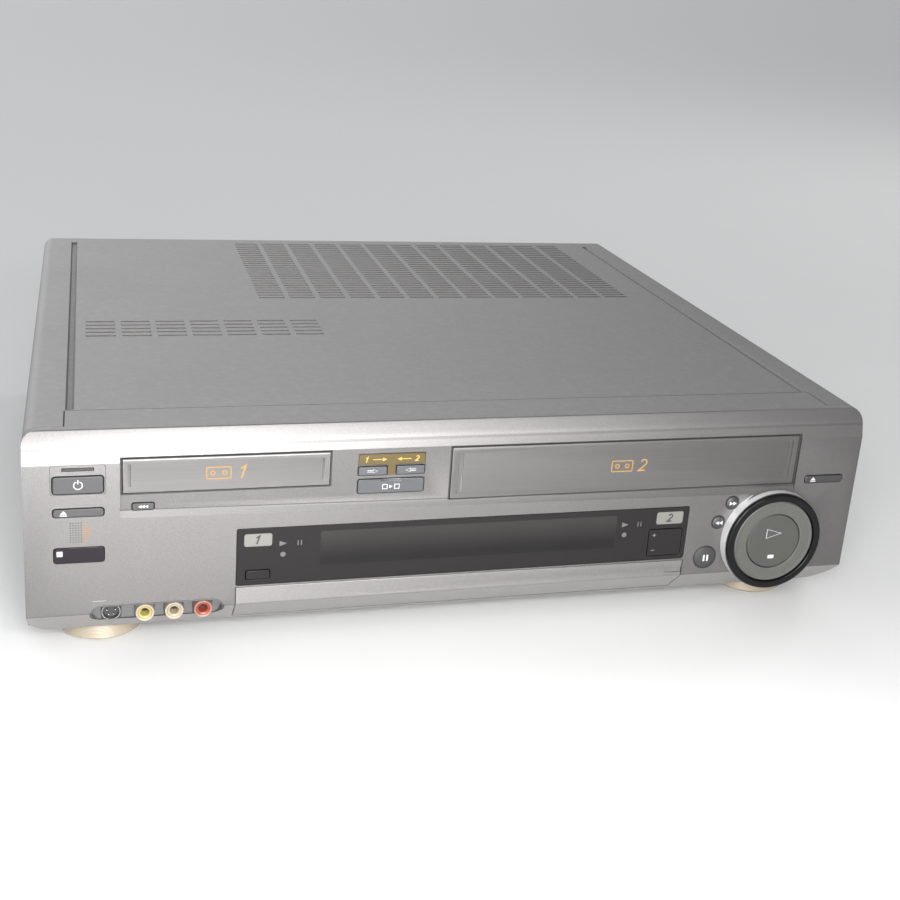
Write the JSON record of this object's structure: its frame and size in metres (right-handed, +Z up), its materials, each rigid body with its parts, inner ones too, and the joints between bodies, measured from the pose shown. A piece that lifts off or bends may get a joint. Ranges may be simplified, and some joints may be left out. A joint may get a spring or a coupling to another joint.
{
  "type": "video cassette recorder",
  "caption": "Wide video cassette recorder with side-by-side decks behind inward-swinging doors, a display window, a jog dial, press keys and a drop-down flap.",
  "frame": {"origin": "centre of the footprint, on the floor under the feet", "axes": "+X along the width to the right as seen from the front, +Y to the back, +Z up"},
  "size_m": [0.43, 0.3988, 0.118],
  "materials": {
    "front_panel": "silver paint on moulded plastic, satin",
    "top_cover": "fine-grained metallic grey paint on steel, satin",
    "bottom_chassis": "bare steel sheet, brushed",
    "rear_panel": "fine-grained metallic grey paint on steel, satin",
    "foot_front_left": "gold-coloured, finely turned",
    "foot_front_right": "gold-coloured, finely turned",
    "foot_rear_left": "gold-coloured, finely turned",
    "foot_rear_right": "gold-coloured, finely turned",
    "rear_terminal_board": "moulded black plastic, matt",
    "antenna_block": "bare steel sheet, brushed",
    "mains_inlet": "moulded black plastic, matt",
    "main_board": "green board laminate",
    "power_supply": "bare steel sheet, brushed",
    "display_board": "green board laminate",
    "display_window": "smoked, almost black",
    "infrared_window": "dark violet",
    "power_lamp": "dark red",
    "dubbing_label": "dark brown",
    "dial_bezel_ring": "black plastic, glossy",
    "jack_holder": "bare steel sheet, brushed",
    "video_jack": "yellow plastic",
    "audio_jack_left": "cream-white plastic",
    "audio_jack_right": "red plastic",
    "s_video_socket": "plated shell",
    "large_deck_chassis": "bare steel sheet, brushed",
    "small_deck_chassis": "bare steel sheet, brushed",
    "large_lower_drum": "polished steel",
    "small_lower_drum": "polished steel",
    "power_button": "silver-grey plastic, satin",
    "left_eject_button": "silver-grey plastic, satin",
    "right_eject_button": "silver-grey plastic, satin",
    "quick_rewind_button": "silver-grey plastic, satin",
    "dub_to_large_button": "silver-grey plastic, satin",
    "dub_to_small_button": "silver-grey plastic, satin",
    "dubbing_start_button": "silver-grey plastic, satin",
    "fast_forward_button": "silver-grey plastic, satin",
    "rewind_button": "silver-grey plastic, satin",
    "pause_button": "silver-grey plastic, satin",
    "audio_select_button": "dark silver plastic, satin",
    "record_button": "silver-grey plastic, satin",
    "timer_button": "silver-grey plastic, satin",
    "input_button": "silver-grey plastic, satin",
    "speed_button": "silver-grey plastic, satin",
    "small_cassette_door": "brushed along its length",
    "large_cassette_door": "brushed along its length",
    "control_flap": "silver paint on moulded plastic, satin",
    "channel_rocker": "dark silver plastic, satin",
    "play_stop_button": "dark silver plastic, satin",
    "shuttle_ring": "silver-grey plastic, satin",
    "large_carriage": "bare steel sheet, brushed",
    "small_carriage": "bare steel sheet, brushed",
    "large_supply_reel": "moulded black plastic, matt",
    "large_takeup_reel": "moulded black plastic, matt",
    "large_capstan": "polished steel",
    "large_upper_drum": "polished steel",
    "small_supply_reel": "moulded black plastic, matt",
    "small_takeup_reel": "moulded black plastic, matt",
    "small_capstan": "polished steel",
    "small_upper_drum": "polished steel"
  },
  "bodies": {
    "case": {"front_panel": "front_panel", "top_cover": "top_cover", "bottom_chassis": "bottom_chassis", "rear_panel": "rear_panel", "foot_front_left": "foot_front_left", "foot_front_right": "foot_front_right", "foot_rear_left": "foot_rear_left", "foot_rear_right": "foot_rear_right", "rear_terminal_board": "rear_terminal_board", "antenna_block": "antenna_block", "mains_inlet": "mains_inlet", "main_board": "main_board", "power_supply": "power_supply", "display_board": "display_board", "display_window": "display_window", "infrared_window": "infrared_window", "power_lamp": "power_lamp", "dubbing_label": "dubbing_label", "dial_bezel_ring": "dial_bezel_ring", "jack_holder": "jack_holder", "video_jack": "video_jack", "audio_jack_left": "audio_jack_left", "audio_jack_right": "audio_jack_right", "s_video_socket": "s_video_socket", "large_deck_chassis": "large_deck_chassis", "small_deck_chassis": "small_deck_chassis", "large_lower_drum": "large_lower_drum", "small_lower_drum": "small_lower_drum"},
    "power_button": {"power_button": "power_button"},
    "left_eject_button": {"left_eject_button": "left_eject_button"},
    "right_eject_button": {"right_eject_button": "right_eject_button"},
    "quick_rewind_button": {"quick_rewind_button": "quick_rewind_button"},
    "dub_to_large_button": {"dub_to_large_button": "dub_to_large_button"},
    "dub_to_small_button": {"dub_to_small_button": "dub_to_small_button"},
    "dubbing_start_button": {"dubbing_start_button": "dubbing_start_button"},
    "fast_forward_button": {"fast_forward_button": "fast_forward_button"},
    "rewind_button": {"rewind_button": "rewind_button"},
    "pause_button": {"pause_button": "pause_button"},
    "audio_select_button": {"audio_select_button": "audio_select_button"},
    "record_button": {"record_button": "record_button"},
    "timer_button": {"timer_button": "timer_button"},
    "input_button": {"input_button": "input_button"},
    "speed_button": {"speed_button": "speed_button"},
    "small_cassette_door": {"small_cassette_door": "small_cassette_door"},
    "large_cassette_door": {"large_cassette_door": "large_cassette_door"},
    "control_flap": {"control_flap": "control_flap"},
    "channel_rocker": {"channel_rocker": "channel_rocker"},
    "play_stop_button": {"play_stop_button": "play_stop_button"},
    "shuttle_ring": {"shuttle_ring": "shuttle_ring"},
    "large_carriage": {"large_carriage": "large_carriage"},
    "small_carriage": {"small_carriage": "small_carriage"},
    "large_supply_reel": {"large_supply_reel": "large_supply_reel"},
    "large_takeup_reel": {"large_takeup_reel": "large_takeup_reel"},
    "large_capstan": {"large_capstan": "large_capstan"},
    "large_upper_drum": {"large_upper_drum": "large_upper_drum"},
    "small_supply_reel": {"small_supply_reel": "small_supply_reel"},
    "small_takeup_reel": {"small_takeup_reel": "small_takeup_reel"},
    "small_capstan": {"small_capstan": "small_capstan"},
    "small_upper_drum": {"small_upper_drum": "small_upper_drum"}
  },
  "joints": [
    {"name": "power_press", "type": "slide", "parent": "case", "child": "power_button", "axis": [0, 1, 0], "range_m": [0, 0.001], "stiffness_N_per_m": 400, "springref_m": -0.001},
    {"name": "left_eject_press", "type": "slide", "parent": "case", "child": "left_eject_button", "axis": [0, 1, 0], "range_m": [0, 0.001], "stiffness_N_per_m": 400, "springref_m": -0.001},
    {"name": "right_eject_press", "type": "slide", "parent": "case", "child": "right_eject_button", "axis": [0, 1, 0], "range_m": [0, 0.001], "stiffness_N_per_m": 400, "springref_m": -0.001},
    {"name": "quick_rewind_press", "type": "slide", "parent": "case", "child": "quick_rewind_button", "axis": [0, 1, 0], "range_m": [0, 0.001], "stiffness_N_per_m": 400, "springref_m": -0.001},
    {"name": "dub_to_large_press", "type": "slide", "parent": "case", "child": "dub_to_large_button", "axis": [0, 1, 0], "range_m": [0, 0.001], "stiffness_N_per_m": 400, "springref_m": -0.001},
    {"name": "dub_to_small_press", "type": "slide", "parent": "case", "child": "dub_to_small_button", "axis": [0, 1, 0], "range_m": [0, 0.001], "stiffness_N_per_m": 400, "springref_m": -0.001},
    {"name": "dubbing_start_press", "type": "slide", "parent": "case", "child": "dubbing_start_button", "axis": [0, 1, 0], "range_m": [0, 0.001], "stiffness_N_per_m": 400, "springref_m": -0.001},
    {"name": "fast_forward_press", "type": "slide", "parent": "case", "child": "fast_forward_button", "axis": [0, 1, 0], "range_m": [0, 0.001], "stiffness_N_per_m": 400, "springref_m": -0.001},
    {"name": "rewind_press", "type": "slide", "parent": "case", "child": "rewind_button", "axis": [0, 1, 0], "range_m": [0, 0.001], "stiffness_N_per_m": 400, "springref_m": -0.001},
    {"name": "pause_press", "type": "slide", "parent": "case", "child": "pause_button", "axis": [0, 1, 0], "range_m": [0, 0.001], "stiffness_N_per_m": 400, "springref_m": -0.001},
    {"name": "audio_select_press", "type": "slide", "parent": "case", "child": "audio_select_button", "axis": [0, 1, 0], "range_m": [0, 0.001], "stiffness_N_per_m": 400, "springref_m": -0.001},
    {"name": "record_press", "type": "slide", "parent": "case", "child": "record_button", "axis": [0, 1, 0], "range_m": [0, 0.0008], "stiffness_N_per_m": 400, "springref_m": -0.001},
    {"name": "timer_press", "type": "slide", "parent": "case", "child": "timer_button", "axis": [0, 1, 0], "range_m": [0, 0.0008], "stiffness_N_per_m": 400, "springref_m": -0.001},
    {"name": "input_press", "type": "slide", "parent": "case", "child": "input_button", "axis": [0, 1, 0], "range_m": [0, 0.0008], "stiffness_N_per_m": 400, "springref_m": -0.001},
    {"name": "speed_press", "type": "slide", "parent": "case", "child": "speed_button", "axis": [0, 1, 0], "range_m": [0, 0.0008], "stiffness_N_per_m": 400, "springref_m": -0.001},
    {"name": "small_door_swing", "type": "hinge", "parent": "case", "child": "small_cassette_door", "pos_m": [-0.12275, -0.1891, 0.1035], "axis": [1, 0, 0], "range_deg": [0, 85], "stiffness_Nm_per_rad": 0.004, "springref_deg": -17.19},
    {"name": "large_door_swing", "type": "hinge", "parent": "case", "child": "large_cassette_door", "pos_m": [0.0819, -0.1891, 0.1035], "axis": [1, 0, 0], "range_deg": [0, 85], "stiffness_Nm_per_rad": 0.01, "springref_deg": -17.19},
    {"name": "control_flap_drop", "type": "hinge", "parent": "case", "child": "control_flap", "pos_m": [-0.0001, -0.17862, 0.01482], "axis": [1, 0, 0], "range_deg": [0, 70]},
    {"name": "channel_rocker_tilt", "type": "hinge", "parent": "case", "child": "channel_rocker", "pos_m": [0.1062, -0.1896, 0.047], "axis": [1, 0, 0], "range_deg": [-2.5, 2.5], "stiffness_Nm_per_rad": 0.3},
    {"name": "play_stop_tilt", "type": "hinge", "parent": "case", "child": "play_stop_button", "pos_m": [0.167, -0.1954, 0.047], "axis": [1, 0, 0], "range_deg": [-2.5, 2.5], "stiffness_Nm_per_rad": 0.4},
    {"name": "shuttle_ring_turn", "type": "hinge", "parent": "case", "child": "shuttle_ring", "pos_m": [0.167, -0.1916, 0.047], "axis": [0, -1, 0], "range_deg": [-60, 60], "stiffness_Nm_per_rad": 0.02},
    {"name": "large_loading", "type": "slide", "parent": "case", "child": "large_carriage", "axis": [0, 0.9212, -0.389], "range_m": [0, 0.04885]},
    {"name": "small_loading", "type": "slide", "parent": "case", "child": "small_carriage", "axis": [0, 0.9389, -0.3443], "range_m": [0, 0.03195]},
    {"name": "large_supply_reel_spin", "type": "hinge", "parent": "case", "child": "large_supply_reel", "pos_m": [0.0358, -0.06302, 0.0467], "axis": [0, 0, 1], "continuous": true},
    {"name": "large_takeup_reel_spin", "type": "hinge", "parent": "case", "child": "large_takeup_reel", "pos_m": [0.128, -0.06302, 0.0467], "axis": [0, 0, 1], "continuous": true},
    {"name": "large_capstan_spin", "type": "hinge", "parent": "case", "child": "large_capstan", "pos_m": [0.1383, 0.002, 0.0467], "axis": [0, 0, 1], "continuous": true},
    {"name": "large_upper_drum_spin", "type": "hinge", "parent": "case", "child": "large_upper_drum", "pos_m": [0.0819, 0.033, 0.071], "axis": [0, 0, 1], "continuous": true},
    {"name": "small_supply_reel_spin", "type": "hinge", "parent": "case", "child": "small_supply_reel", "pos_m": [-0.14475, -0.09911, 0.0697], "axis": [0, 0, 1], "continuous": true},
    {"name": "small_takeup_reel_spin", "type": "hinge", "parent": "case", "child": "small_takeup_reel", "pos_m": [-0.10075, -0.09911, 0.0697], "axis": [0, 0, 1], "continuous": true},
    {"name": "small_capstan_spin", "type": "hinge", "parent": "case", "child": "small_capstan", "pos_m": [-0.09425, -0.0585, 0.0697], "axis": [0, 0, 1], "continuous": true},
    {"name": "small_upper_drum_spin", "type": "hinge", "parent": "case", "child": "small_upper_drum", "pos_m": [-0.12275, -0.0385, 0.085], "axis": [0, 0, 1], "continuous": true}
  ]
}
